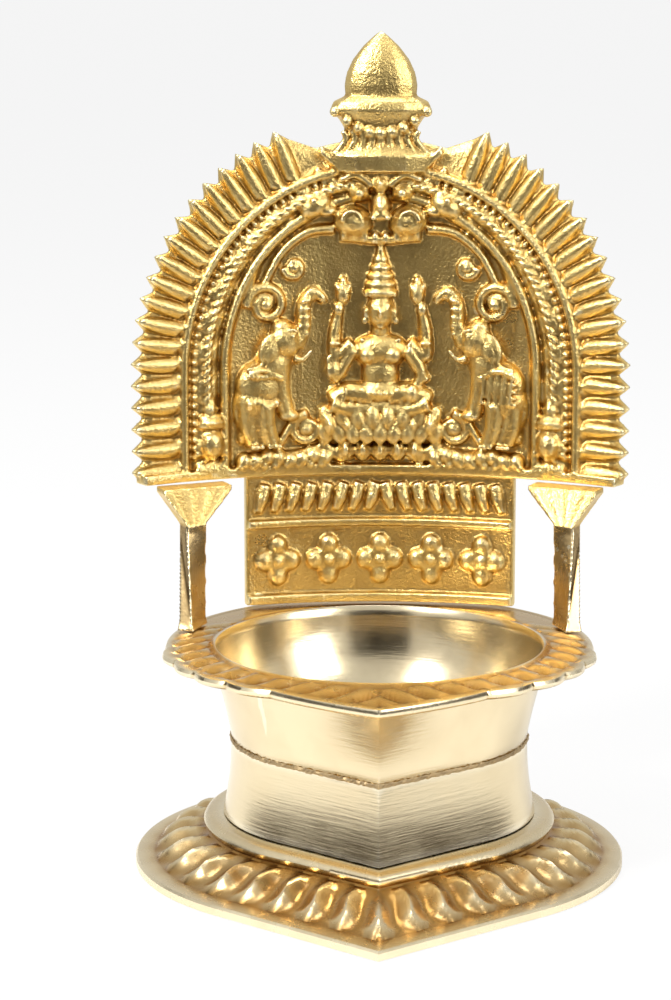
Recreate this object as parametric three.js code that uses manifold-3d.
// Gajalakshmi oil lamp in cast brass. Millimetres, +Z up, the front point looks along -Y.
// The turned bowl's axis is x = 0, y = 0 inside the group, which is then centred on its foot.
import * as THREE from 'three';
import { mergeVertices } from 'three/addons/utils/BufferGeometryUtils.js';
import Module from 'manifold-3d';

const wasm = await Module();
wasm.setup();

// Whole lamp
const LAMP_HEIGHT = 178;
const SEAM = 0.3;

// Foot casting: leaf outline, flat border, leaning lobes and a step on top
const FOOT_RADIUS = 53.2;
const FOOT_POINT = 68.8;
const FOOT_EDGE = 2;
const BORDER_WIDTH = 4.7;
const FOOT_WALL = 2.6;
const LOBE_COUNT = 36;
const LOBE_HEIGHT = 0.9;
const LOBE_LEAN = 0.9;
const LOBE_RISE = 5.4;
const STEP_RADIUS = 37.6;
const STEP_POINT = 47.4;
const STEP_HEIGHT = 3.6;

// Pedestal casting: plain hollow waist
const WAIST_LOW_RADIUS = 34;
const WAIST_LOW_POINT = 44;
const SEAM_RADIUS = 32.2;
const SEAM_POINT = 41;
const SEAM_LEVEL = 27.6;
const WAIST_WALL = 2.6;

// Bowl casting: collar, rim leaf and the turned oil bowl
const RIM_LEVEL = 48.3;
const RIM_THICK = 2.2;
const RIM_RADIUS = 46.4;
const RIM_POINT = 56.6;
const COLLAR_RADIUS = 36.4;
const COLLAR_POINT = 50.5;
const BOWL_RADIUS = 35.2;
const BOWL_DEPTH = 25;
const BOWL_FLOOR_WALL = 2.4;
const SCALLOP_DEPTH = 1.1;
const SCALLOP_JOINTS = [0, 27, 39, 50, 60];
const RIM_BAR_HEIGHT = 0.45;
const RIM_BAR_PITCH = 8.4;

// Back plate: curved about an upright axis in front of it
const PLATE_BEND = 95;
const PLATE_FACE_Y = 38;
const PLATE_WALL = 2.9;
const LEDGE_LEVEL = 78.6;
const ARCH_SPRING = 103;
const PANEL_HALF = 30.6;
const TOOTH_COUNT = 19;
const STRAIGHT_TEETH = 5;
const TOOTH_NOTCH = 3;
const CROWN_NOTCH = 7;
const TOOTH_ANGLE = 4.86 * Math.PI / 180;
const FLOWER_COUNT = 5;
const FLOWER_PITCH = 11.7;
const FLOWER_LEVEL = 58.8;
const GADROON_COUNT = 8;
const GADROON_PITCH = 3.6;

// Pillars: flat blades with fluted wedge capitals
const PILLAR_X = 41.3;
const PILLAR_Y = 12.6;
const PILLAR_TURN = 17 * Math.PI / 180;
const PILLAR_WIDTH = 8;
const PILLAR_THICK = 3.2;
const WEDGE_LEVEL = 70.2;
const WEDGE_TOP_WIDTH = 16;

function material(name, color, roughness) {
  return new THREE.MeshStandardMaterial({ name, color, roughness, metalness: 1 });
}

const PALE_BRASS = material('pale_polished_brass', 0xcdb98f, 0.3);
const GOLD_BRASS = material('gold_cast_brass', 0xc9a052, 0.42);
const RIM_BRASS = material('rubbed_gold_brass', 0xcfae6a, 0.34);

// Joins rings of equal length into one closed body. A body that isn't a loop of rings is
// closed by a middle point at each end.
function bodyFromRings(rings, loop) {
  const positions = [];
  const index = [];
  const count = rings[0].length;
  for (const ring of rings) {
    for (const point of ring) {
      positions.push(...point);
    }
  }
  const bands = loop ? rings.length : rings.length - 1;
  for (let band = 0; band < bands; band += 1) {
    const low = band * count;
    const high = ((band + 1) % rings.length) * count;
    for (let k = 0; k < count; k += 1) {
      const next = (k + 1) % count;
      index.push(low + k, low + next, high + next);
      index.push(low + k, high + next, high + k);
    }
  }
  if (!loop) {
    closeEnd(rings[0], 0, positions, index, true);
    closeEnd(rings[rings.length - 1], (rings.length - 1) * count, positions, index, false);
  }
  const geometry = new THREE.BufferGeometry();
  geometry.setAttribute('position', new THREE.Float32BufferAttribute(positions, 3));
  geometry.setIndex(index);
  return faceOutward(geometry);
}

function closeEnd(ring, start, positions, index, first) {
  const middle = [0, 0, 0];
  for (const point of ring) {
    for (let axis = 0; axis < 3; axis += 1) {
      middle[axis] += point[axis] / ring.length;
    }
  }
  const pole = positions.length / 3;
  positions.push(...middle);
  for (let k = 0; k < ring.length; k += 1) {
    const next = (k + 1) % ring.length;
    if (first) {
      index.push(pole, start + next, start + k);
    } else {
      index.push(pole, start + k, start + next);
    }
  }
}

function signedVolume(geometry) {
  const p = geometry.attributes.position;
  const index = geometry.index.array;
  const a = new THREE.Vector3();
  const b = new THREE.Vector3();
  const c = new THREE.Vector3();
  let volume = 0;
  for (let t = 0; t < index.length; t += 3) {
    a.fromBufferAttribute(p, index[t]);
    b.fromBufferAttribute(p, index[t + 1]);
    c.fromBufferAttribute(p, index[t + 2]);
    volume += a.dot(b.cross(c)) / 6;
  }
  return volume;
}

function faceOutward(geometry) {
  if (signedVolume(geometry) < 0) {
    const index = Array.from(geometry.index.array);
    for (let t = 0; t < index.length; t += 3) {
      [index[t + 1], index[t + 2]] = [index[t + 2], index[t + 1]];
    }
    geometry.setIndex(index);
  }
  return geometry;
}

function toManifold(geometry) {
  const clean = geometry.clone();
  clean.deleteAttribute('normal');
  clean.deleteAttribute('uv');
  const merged = mergeVertices(clean, 1e-4);
  return new wasm.Manifold(new wasm.Mesh({
    numProp: 3,
    vertProperties: new Float32Array(merged.attributes.position.array),
    triVerts: new Uint32Array(merged.index.array),
  }));
}

function fromManifold(solid) {
  const mesh = solid.getMesh();
  const geometry = new THREE.BufferGeometry();
  geometry.setAttribute('position', new THREE.Float32BufferAttribute(mesh.vertProperties, 3));
  geometry.setIndex(new THREE.BufferAttribute(new Uint32Array(mesh.triVerts), 1));
  return fillVoids(geometry);
}

// A casting is solid between its overlapping forms, so closed shells that face inward go.
function fillVoids(geometry) {
  const index = geometry.index.array;
  const parent = Array.from({ length: geometry.attributes.position.count }, (_, k) => k);
  const root = (k) => {
    let top = k;
    while (parent[top] !== top) {
      parent[top] = parent[parent[top]];
      top = parent[top];
    }
    return top;
  };
  for (let t = 0; t < index.length; t += 3) {
    parent[root(index[t])] = root(index[t + 1]);
    parent[root(index[t + 1])] = root(index[t + 2]);
  }
  const shells = new Map();
  for (let t = 0; t < index.length; t += 3) {
    const key = root(index[t]);
    if (!shells.has(key)) {
      shells.set(key, []);
    }
    shells.get(key).push(index[t], index[t + 1], index[t + 2]);
  }
  const kept = [];
  for (const shell of shells.values()) {
    const part = new THREE.BufferGeometry();
    part.setAttribute('position', geometry.attributes.position);
    part.setIndex(shell);
    if (signedVolume(part) > 0) {
      kept.push(...shell);
    }
  }
  geometry.setIndex(kept);
  return mergeVertices(geometry, 1e-6);
}

// Leaf outline: a circle about the bowl's axis with two tangents that meet in a front point.
// The share of the way round starts at the point and runs past +X.
function leafPoint(radius, point, share) {
  const half = Math.acos(Math.min(1, radius / point));
  const side = Math.sqrt(Math.max(0, point * point - radius * radius));
  const arc = radius * (Math.PI - half);
  const way = Math.min(share, 1 - share) * 2 * (side + arc);
  const mirror = share <= 0.5 ? 1 : -1;
  if (way < side) {
    const x = way * Math.cos(half);
    return { x: mirror * x, y: -point + way * Math.sin(half), way };
  }
  const turn = half + (way - side) / radius;
  return { x: mirror * radius * Math.sin(turn), y: -radius * Math.cos(turn), way };
}

function leafRing(radius, point, level, count, shape) {
  const ring = [];
  for (let k = 0; k < count; k += 1) {
    const share = k / count;
    const spot = leafPoint(radius, point, share);
    const change = shape ? shape(share, spot) : { out: 0, up: 0 };
    const grow = 1 + change.out / radius;
    ring.push([spot.x * grow, spot.y * grow, level + change.up]);
  }
  return ring;
}

// Foot casting
function lobes(lean) {
  return (share) => {
    const side = share <= 0.5 ? share : 1 - share;
    const wave = Math.cos(2 * Math.PI * (LOBE_COUNT * side + lean));
    return { out: 0.4 * LOBE_HEIGHT * wave, up: LOBE_HEIGHT * wave };
  };
}

function footCasting() {
  const count = LOBE_COUNT * 2;
  const fluteOut = FOOT_RADIUS - BORDER_WIDTH;
  const flutePoint = FOOT_POINT - BORDER_WIDTH * FOOT_POINT / FOOT_RADIUS;
  const fluteTop = FOOT_EDGE + LOBE_RISE;
  const stepTop = fluteTop + STEP_HEIGHT;
  const between = (a, b, t) => a + (b - a) * t;
  const row = (t) => [between(fluteOut, STEP_RADIUS + 1, t), between(flutePoint, STEP_POINT + 1, t)];
  const insideRadius = WAIST_LOW_RADIUS - WAIST_WALL;
  const insidePoint = WAIST_LOW_POINT - WAIST_WALL;
  const rings = [
    leafRing(FOOT_RADIUS, FOOT_POINT, 0, count),
    leafRing(FOOT_RADIUS, FOOT_POINT, FOOT_EDGE, count),
    leafRing(...row(0), FOOT_EDGE + 0.2, count),
    leafRing(...row(0.2), between(FOOT_EDGE, fluteTop, 0.4), count, lobes(0)),
    leafRing(...row(0.6), between(FOOT_EDGE, fluteTop, 0.8), count, lobes(LOBE_LEAN / 3)),
    leafRing(...row(0.9), fluteTop - 0.2, count, lobes(LOBE_LEAN / 2)),
    leafRing(STEP_RADIUS, STEP_POINT, fluteTop + 0.6, count),
    leafRing(STEP_RADIUS + 0.5, STEP_POINT + 0.5, fluteTop + STEP_HEIGHT / 2, count),
    leafRing(STEP_RADIUS, STEP_POINT, stepTop - 0.7, count),
    leafRing(STEP_RADIUS - 1.2, STEP_POINT - 1.2, stepTop, count),
    leafRing(insideRadius, insidePoint, stepTop, count),
    leafRing(insideRadius, insidePoint, fluteTop - 1, count),
    leafRing(fluteOut - 4, flutePoint - 5, FOOT_WALL, count),
    leafRing(fluteOut - 2, flutePoint - 2.6, 0, count),
  ];
  return bodyFromRings(rings, true);
}

const PEDESTAL_BOTTOM = FOOT_EDGE + LOBE_RISE + STEP_HEIGHT + SEAM;

// Pedestal casting
function pedestalCasting() {
  const count = 48;
  const midLevel = PEDESTAL_BOTTOM + (SEAM_LEVEL - PEDESTAL_BOTTOM) * 0.4;
  const lowRadius = WAIST_LOW_RADIUS;
  const lowPoint = WAIST_LOW_POINT;
  const rings = [
    leafRing(lowRadius, lowPoint, PEDESTAL_BOTTOM, count),
    leafRing(SEAM_RADIUS + 0.7, SEAM_POINT + 1.2, midLevel, count),
    leafRing(SEAM_RADIUS, SEAM_POINT, SEAM_LEVEL, count),
    leafRing(SEAM_RADIUS - WAIST_WALL, SEAM_POINT - WAIST_WALL, SEAM_LEVEL, count),
    leafRing(SEAM_RADIUS + 0.7 - WAIST_WALL, SEAM_POINT + 1.2 - WAIST_WALL, midLevel, count),
    leafRing(lowRadius - WAIST_WALL, lowPoint - WAIST_WALL, PEDESTAL_BOTTOM, count),
  ];
  return bodyFromRings(rings, true);
}

// Bowl casting
function scallops(share, spot) {
  let out = 0;
  for (let k = 0; k + 1 < SCALLOP_JOINTS.length; k += 1) {
    const start = SCALLOP_JOINTS[k];
    const end = SCALLOP_JOINTS[k + 1];
    if (spot.way >= start && spot.way <= end) {
      out = SCALLOP_DEPTH * Math.sin(Math.PI * (spot.way - start) / (end - start));
    }
  }
  return { out, up: 0 };
}

function rimBars(share, spot) {
  const front = spot.way < SCALLOP_JOINTS[SCALLOP_JOINTS.length - 1];
  const wave = Math.cos(2 * Math.PI * spot.way / RIM_BAR_PITCH);
  return { out: 0, up: front ? RIM_BAR_HEIGHT * wave : 0 };
}

function bowlCasting() {
  const count = 72;
  const bottom = SEAM_LEVEL + SEAM;
  const rimUnder = RIM_LEVEL - RIM_THICK;
  const floor = RIM_LEVEL - BOWL_DEPTH;
  const middle = (a, b) => (a + b) / 2;
  const round = (radius, level) => leafRing(radius, radius, level, count);
  const rings = [
    round(8, floor - BOWL_FLOOR_WALL),
    round(BOWL_RADIUS * 0.6, floor - BOWL_FLOOR_WALL + 1),
    round(BOWL_RADIUS - 8.4, bottom - 1.2),
    leafRing(SEAM_RADIUS - WAIST_WALL, SEAM_POINT - WAIST_WALL, bottom, count),
    leafRing(SEAM_RADIUS, SEAM_POINT, bottom, count),
    leafRing(middle(SEAM_RADIUS, COLLAR_RADIUS), middle(SEAM_POINT, COLLAR_POINT) - 0.8,
      middle(bottom, rimUnder), count),
    leafRing(COLLAR_RADIUS, COLLAR_POINT, rimUnder - 0.5, count),
    leafRing(RIM_RADIUS - 0.6, RIM_POINT - 0.7, rimUnder, count, scallops),
    leafRing(RIM_RADIUS, RIM_POINT, middle(rimUnder, RIM_LEVEL), count, scallops),
    leafRing(RIM_RADIUS - 0.4, RIM_POINT - 0.4, RIM_LEVEL - 0.3, count, scallops),
    leafRing(RIM_RADIUS - 2.4, RIM_POINT - 3.4, RIM_LEVEL - 0.3, count, rimBars),
    leafRing(BOWL_RADIUS + 2.4, BOWL_RADIUS + 6, RIM_LEVEL - 0.3, count, rimBars),
    round(BOWL_RADIUS + 0.8, RIM_LEVEL),
    round(BOWL_RADIUS, RIM_LEVEL - 0.6),
    round(BOWL_RADIUS - 0.5, RIM_LEVEL - BOWL_DEPTH * 0.45),
    round(BOWL_RADIUS - 3, floor + 7),
    round(BOWL_RADIUS * 0.74, floor + 2.4),
    round(BOWL_RADIUS * 0.36, floor + 0.3),
  ];
  return bodyFromRings(rings, false);
}

// Back plate. Its forms are set out flat: x along the plate, y the height, z forward from
// the back. They are then bent round the plate's upright axis.
function bend(geometry) {
  const p = geometry.attributes.position;
  const backRadius = PLATE_BEND + PLATE_WALL;
  for (let k = 0; k < p.count; k += 1) {
    const angle = p.getX(k) / PLATE_BEND;
    const reach = backRadius - p.getZ(k);
    const x = Math.sin(angle) * reach;
    const y = PLATE_FACE_Y - PLATE_BEND + Math.cos(angle) * reach;
    p.setXYZ(k, x, y, p.getY(k));
  }
  return geometry;
}

// Half width and half height of the arch lines, from the tooth tips in to the field.
const TIP_LINE = [57.3, 58];
const TOOTH_MID_LINE = [53, 52.6];
const CROWN_MID_LINE = [49.4, 49.6];
const TOOTH_END_LINE = [48.2, 47.2];
const OUTER_RIDGE_LINE = [45.5, 44.6];
const RIDGE_FALL_LINE = [44.1, 43.6];
const GARLAND_OUT_LINE = [42, 42.4];
const GARLAND_IN_LINE = [38.6, 40.6];
const GARLAND_FALL_LINE = [37, 39.6];
const INNER_RIDGE_LINE = [35.5, 38.4];
const FIELD_LINE = [34, 37];

function archSpot(line, station) {
  const [wide, high] = line;
  const side = station.side;
  if (station.angle <= 0) {
    return [side * wide, ARCH_SPRING - station.drop];
  }
  return [side * wide * Math.cos(station.angle), ARCH_SPRING + high * Math.sin(station.angle)];
}

// Stations run from the foot of the left side over the top to the foot of the right side,
// two for each tooth: its notch and its tip.
function archStations() {
  const half = [];
  const pitch = (ARCH_SPRING - LEDGE_LEVEL) / STRAIGHT_TEETH;
  const toothed = TOOTH_COUNT * 2;
  for (let k = 0; k <= toothed; k += 1) {
    const tip = k % 2 === 1;
    const teeth = k / 2;
    const drop = Math.max(0, (STRAIGHT_TEETH - teeth) * pitch);
    const angle = Math.max(0, (teeth - STRAIGHT_TEETH) * TOOTH_ANGLE);
    half.push({ tip, drop, angle, bead: k % 4 < 2 });
  }
  const last = half[half.length - 1].angle;
  const plain = 3;
  for (let k = 1; k <= plain; k += 1) {
    const angle = last + (Math.PI / 2 - last) * k / (plain + 1);
    half.push({ tip: false, crown: true, drop: 0, angle, bead: k % 2 === 0 });
  }
  const left = half.map((station) => ({ ...station, side: -1 }));
  const right = half.map((station) => ({ ...station, side: 1 })).reverse();
  const top = { tip: false, crown: true, drop: 0, angle: Math.PI / 2, bead: false, side: 1 };
  return [...left, top, ...right];
}

// The edge steps back between teeth, and further behind the finial's neck.
function edgeNotch(station) {
  if (station.crown) {
    return CROWN_NOTCH;
  }
  return station.tip ? 0 : TOOTH_NOTCH;
}

function archBorder() {
  const rings = archStations().map((station) => {
    const notch = edgeNotch(station);
    const edge = [TIP_LINE[0] - notch, TIP_LINE[1] - notch];
    const crest = station.tip ? 1.7 : 0;
    const bead = station.bead ? 0.7 : 0;
    const rows = [
      [edge, 0],
      [edge, 1.1],
      [station.crown ? CROWN_MID_LINE : TOOTH_MID_LINE, 1.9 + crest],
      [TOOTH_END_LINE, 2.6 + crest],
      [OUTER_RIDGE_LINE, 4.2],
      [RIDGE_FALL_LINE, 3.1],
      [GARLAND_OUT_LINE, 4.2 + bead],
      [GARLAND_IN_LINE, 4.2 + bead],
      [GARLAND_FALL_LINE, 3.1],
      [INNER_RIDGE_LINE, 4.4],
      [FIELD_LINE, PLATE_WALL - 0.2],
      [FIELD_LINE, 0],
    ];
    return rows.map(([line, forward]) => [...archSpot(line, station), forward]);
  });
  return bodyFromRings(rings, false);
}

// A slab of the plate, cut in upright strips so that it bends smoothly.
function strips(halfWidth, bottom, topAt, back, front, count) {
  const box = new THREE.BoxGeometry(2 * halfWidth, 1, 1, count, 1, 1);
  const p = box.attributes.position;
  for (let k = 0; k < p.count; k += 1) {
    const x = p.getX(k);
    const y = p.getY(k) > 0 ? topAt(x) : bottom;
    const z = p.getZ(k) > 0 ? front : back;
    p.setXYZ(k, x, y, z);
  }
  return box;
}

function bar(halfWidth, bottom, top, front) {
  return strips(halfWidth, bottom, () => top, 0.5, front, 14);
}

function field() {
  const wide = FIELD_LINE[0] + 1.4;
  const high = FIELD_LINE[1] + 1.2;
  const top = (x) => ARCH_SPRING + high * Math.sqrt(Math.max(0, 1 - (x / (wide + 0.4)) ** 2));
  return strips(wide, LEDGE_LEVEL, top, 0.3, PLATE_WALL, 16);
}

function plinthPanel() {
  return strips(PANEL_HALF, RIM_LEVEL + SEAM, () => LEDGE_LEVEL + 1, 0.4, PLATE_WALL - 0.3, 12);
}

// Egg-shaped boss with a flat back inside the plate, turned in the plane of the plate.
function boss(x, y, forward, wide, high, deep, turn = 0, around = 7, rows = 2) {
  const back = PLATE_WALL - 0.8;
  const front = forward + deep;
  const rings = [];
  for (let row = 0; row < rows; row += 1) {
    const rise = Math.sin(Math.PI / 2 * row / rows);
    const reach = Math.cos(Math.PI / 2 * row / rows * 0.94);
    const ring = [];
    for (let k = 0; k < around; k += 1) {
      const angle = 2 * Math.PI * k / around;
      const u = wide * reach * Math.cos(angle);
      const v = high * reach * Math.sin(angle);
      ring.push([x + u * Math.cos(turn) - v * Math.sin(turn),
        y + u * Math.sin(turn) + v * Math.cos(turn), back + (front - back) * rise]);
    }
    rings.push(ring);
  }
  const geometry = bodyFromRings(rings, false);
  const p = geometry.attributes.position;
  p.setZ(p.count - 1, front);
  return geometry;
}

// A limb, trunk or stem: a tapering tube on a smooth line through the given spots.
function limb(spots, thick, thin, forward, steps = 4, rounds = 5) {
  const line = new THREE.CatmullRomCurve3(spots.map(([x, y]) => new THREE.Vector3(x, y, forward)));
  const rings = [];
  for (let k = 0; k <= steps; k += 1) {
    const t = k / steps;
    const spot = line.getPoint(t);
    const along = line.getTangent(t);
    const radius = thick + (thin - thick) * t;
    const ring = [];
    for (let j = 0; j < rounds; j += 1) {
      const angle = 2 * Math.PI * j / rounds;
      const across = radius * Math.cos(angle);
      ring.push([spot.x - along.y * across, spot.y + along.x * across,
        spot.z + radius * Math.sin(angle)]);
    }
    rings.push(ring);
  }
  return bodyFromRings(rings, false);
}

function curl(x, y, radius, turns, start, hand, forward) {
  const spots = [];
  const steps = Math.round(turns * 6);
  for (let k = 0; k <= steps; k += 1) {
    const t = k / steps;
    const angle = start + hand * 2 * Math.PI * turns * t;
    const reach = radius * (1 - 0.72 * t);
    spots.push([x + reach * Math.cos(angle), y + reach * Math.sin(angle)]);
  }
  return limb(spots, 1.1, 0.7, forward, steps, 4);
}

function goddess() {
  const front = PLATE_WALL;
  const forms = [
    boss(0, 115.8, front + 1.4, 3.5, 4.3, 3, 0, 8, 3),
    boss(0, 121.2, front + 1, 3.7, 3, 2.6, 0, 8, 3),
    boss(0, 126, front + 0.6, 2, 4.6, 1.8, 0, 6, 2),
    boss(0, 106.6, front + 0.8, 6.8, 4.4, 3, 0, 8, 3),
    boss(0, 101, front + 0.8, 4.4, 5.4, 2.8, 0, 8, 3),
    boss(0, 97, front + 1, 5.6, 2.4, 3.2, 0, 8, 3),
    boss(0, 90.4, front + 0.4, 14, 4.2, 3.4, 0, 10, 3),
  ];
  for (const side of [-1, 1]) {
    forms.push(limb([[side * 2, 96], [side * 7, 97.2], [side * 11.4, 95.4]], 2.5, 1.8, front + 1.4));
    forms.push(limb([[side * 11, 94.6], [side * 5, 93.8], [side * -1, 94.6]], 1.9, 1.4, front + 2.2));
    forms.push(limb([[side * 6.4, 108.6], [side * 10, 105.8], [side * 10, 111], [side * 9.4, 116]],
      1.6, 1.1, front + 0.8, 5));
    forms.push(boss(side * 8.2, 120, front + 0.7, 1.6, 2.8, 1.4));
    forms.push(limb([[side * 6, 107], [side * 8.8, 102.6], [side * 10.6, 100]], 1.6, 1.2, front + 1.2));
  }
  return forms;
}

function lotusSeat() {
  const forms = [];
  const petals = 7;
  for (let k = 0; k < petals; k += 1) {
    const place = (k - (petals - 1) / 2) / ((petals - 1) / 2);
    forms.push(boss(place * 11.6, 90.2, PLATE_WALL + 2.2, 2.1, 3.6, 2, place * -0.25, 6, 2));
  }
  for (let k = -2; k <= 2; k += 1) {
    forms.push(boss(k * 4.1, 83.9, PLATE_WALL + 0.6, 2.2, 2.4, 2, 0, 6, 2));
  }
  return forms;
}

function elephant(side) {
  const front = PLATE_WALL;
  const s = (x) => side * x;
  return [
    boss(s(27), 99.4, front + 0.4, 6.6, 5.4, 3.2, 0, 8, 3),
    boss(s(21.6), 109.2, front + 1.4, 4, 4.4, 3.2, 0, 8, 3),
    boss(s(25.2), 107, front + 2, 2.4, 3.6, 1.6, s(0.4), 6, 2),
    limb([[s(19), 108], [s(17.4), 113], [s(17), 118], [s(14.4), 119.6], [s(12.6), 117.8]],
      2, 1, front + 1.2, 7),
    limb([[s(23), 104], [s(22.6), 98], [s(21.4), 92.6]], 2.6, 1.8, front + 1),
    limb([[s(29), 97], [s(29.4), 91.6], [s(27.4), 86]], 2.8, 2, front + 0.8),
  ];
}

function scrollwork(side) {
  const front = PLATE_WALL + 0.2;
  const s = (x) => side * x;
  return [
    curl(s(25.6), 117.6, 4.6, 1.4, side > 0 ? 0 : Math.PI, side, front),
    limb([[s(30.2), 117.6], [s(28.4), 126], [s(22), 133], [s(15), 138]], 1.2, 1.2, front, 5, 4),
    boss(s(14.6), 139.6, front + 1, 4.2, 2.8, 2.8, s(-0.5)),
    curl(s(16.6), 89.2, 3.6, 1.3, Math.PI / 2, -side, front),
    limb([[s(8), 82.4], [s(13), 84], [s(20), 82.6], [s(31), 82.4]], 2, 1.6, front, 5, 5),
  ];
}

function lionMask() {
  const front = PLATE_WALL + 0.6;
  const forms = [
    boss(0, 144.4, front + 2, 2.4, 2.6, 2.6),
    boss(0, 139.2, front + 1.8, 2.6, 3.4, 3),
    boss(0, 146.6, front, 9.6, 4.8, 2.8, 0, 8, 3),
    limb([[-9, 132.4], [0, 131.6], [9, 132.4]], 1.1, 1.1, front + 0.4, 6, 5),
  ];
  for (const side of [-1, 1]) {
    forms.push(boss(side * 6.2, 136, front + 1, 4.8, 3.8, 2.8, side * 0.3, 8, 3));
    forms.push(limb([[side * 3, 145], [side * 9, 148], [side * 13.6, 151.6]], 2, 1, front + 0.8, 5, 5));
  }
  return forms;
}

function sideMask(side) {
  const front = PLATE_WALL + 1.2;
  return [
    boss(side * 39.6, 86.8, front + 0.8, 3.4, 4.4, 2.6, 0, 8, 3),
    boss(side * 39.6, 91.8, front + 0.8, 3.8, 1.6, 2.6, 0, 6, 2),
    boss(side * 39.8, 94.6, front + 0.4, 2, 3.8, 2, 0, 6, 2),
  ];
}

function flower(x) {
  const around = 16;
  const ring = (reach, forward) => Array.from({ length: around }, (_, k) => {
    const angle = 2 * Math.PI * k / around;
    const lobe = reach * (0.62 + 0.38 * Math.abs(Math.cos(2 * angle)));
    return [x + lobe * Math.cos(angle), FLOWER_LEVEL + 1.1 * lobe * Math.sin(angle), forward];
  });
  const face = PLATE_WALL - 0.3;
  return bodyFromRings([ring(5.2, face - 1), ring(5.2, face + 0.5), ring(3.6, face + 1.4)], false);
}

function plinthOrnament() {
  const forms = [
    bar(PANEL_HALF - 0.2, RIM_LEVEL + SEAM + 0.2, RIM_LEVEL + 2.6, 4),
    bar(PANEL_HALF - 0.4, 66.6, 68.2, 4),
    bar(56.2, LEDGE_LEVEL, LEDGE_LEVEL + 2.2, 5),
  ];
  for (let k = 0; k < GADROON_COUNT; k += 1) {
    for (const side of [-1, 1]) {
      const x = side * GADROON_PITCH * (k + 0.5);
      forms.push(boss(x, 73.1, PLATE_WALL - 0.2, 1.65, 4.3, 1.8, side * 0.35, 6, 2));
    }
  }
  for (let k = 0; k < FLOWER_COUNT; k += 1) {
    const x = (k - (FLOWER_COUNT - 1) / 2) * FLOWER_PITCH;
    forms.push(flower(x));
  }
  return forms;
}

function finial() {
  const profile = [
    [0, 147], [11.4, 147], [12, 150.6], [8.8, 153], [8.2, 156.4], [9.4, 158.4], [11.4, 160.6],
    [10.6, 162.4], [8, 163.6], [8.2, 166], [7.7, 168.6], [6.3, 171.6], [4, 174.6], [1.6, 176.8],
    [0, LAMP_HEIGHT],
  ];
  const points = profile.map(([radius, level]) => new THREE.Vector2(radius, level));
  const turned = new THREE.LatheGeometry(points, 12);
  turned.scale(1, 1, 0.46);
  turned.translate(0, 0, PLATE_WALL);
  return [turned];
}

function backPlate() {
  const forms = [
    archBorder(),
    field(),
    plinthPanel(),
    ...plinthOrnament(),
    ...goddess(),
    ...lotusSeat(),
    ...lionMask(),
    ...finial(),
  ];
  for (const side of [-1, 1]) {
    forms.push(...elephant(side));
    forms.push(...scrollwork(side));
    forms.push(...sideMask(side));
  }
  let plate = null;
  for (const form of forms) {
    const solid = toManifold(bend(form));
    plate = plate ? plate.add(solid) : solid;
  }
  return fromManifold(plate);
}

// Pillar: one blade section after another, from the flared foot to the top of the capital.
function pillar(side) {
  const flutes = 8;
  const capTop = LEDGE_LEVEL - SEAM;
  const levels = [
    { z: RIM_LEVEL + SEAM, wide: PILLAR_WIDTH + 1, thick: PILLAR_THICK + 0.8, back: 0, flute: 0 },
    { z: RIM_LEVEL + 1.8, wide: PILLAR_WIDTH, thick: PILLAR_THICK, back: 0.2, flute: 0 },
    { z: WEDGE_LEVEL - 1, wide: PILLAR_WIDTH * 0.66, thick: PILLAR_THICK, back: 4.4, flute: 0 },
    { z: WEDGE_LEVEL + 0.6, wide: PILLAR_WIDTH * 0.62, thick: PILLAR_THICK + 0.4, back: 4.8, flute: 0.1 },
    { z: capTop - 1, wide: WEDGE_TOP_WIDTH, thick: PILLAR_THICK + 2.2, back: 10.2, flute: 0.45 },
    { z: capTop, wide: WEDGE_TOP_WIDTH, thick: PILLAR_THICK + 2.2, back: 10.8, flute: 0.3 },
  ];
  const rings = levels.map((level) => {
    const ring = [];
    for (let k = 0; k <= flutes; k += 1) {
      const across = (k / flutes - 0.5) * level.wide;
      const relief = k % 2 === 1 ? level.flute : 0;
      ring.push([across, -level.thick / 2 - relief]);
    }
    ring.push([level.wide / 2, level.thick / 2], [-level.wide / 2, level.thick / 2]);
    const share = (level.z - RIM_LEVEL) / (capTop - RIM_LEVEL);
    const turn = PILLAR_TURN - Math.PI / 2 + (Math.PI / 2 - 2.4 * PILLAR_TURN) * Math.min(1, share * 1.1);
    return ring.map(([u, v]) => {
      const x = PILLAR_X + u * Math.cos(turn) - v * Math.sin(turn);
      const y = PILLAR_Y + level.back + u * Math.sin(turn) + v * Math.cos(turn);
      return [side * x, y, level.z];
    });
  });
  return bodyFromRings(rings, false);
}

const lamp = new THREE.Group();
lamp.name = 'gajalakshmi_oil_lamp';
lamp.position.set(0, (FOOT_POINT - FOOT_RADIUS) / 2, 0);

function add(name, geometry, finish) {
  const mesh = new THREE.Mesh(geometry, finish);
  mesh.name = name;
  lamp.add(mesh);
}

add('foot_casting', footCasting(), RIM_BRASS);
add('pedestal_casting', pedestalCasting(), PALE_BRASS);
add('bowl_casting', bowlCasting(), PALE_BRASS);
add('back_plate', backPlate(), GOLD_BRASS);
add('pillar_left', pillar(-1), RIM_BRASS);
add('pillar_right', pillar(1), RIM_BRASS);

export default lamp;
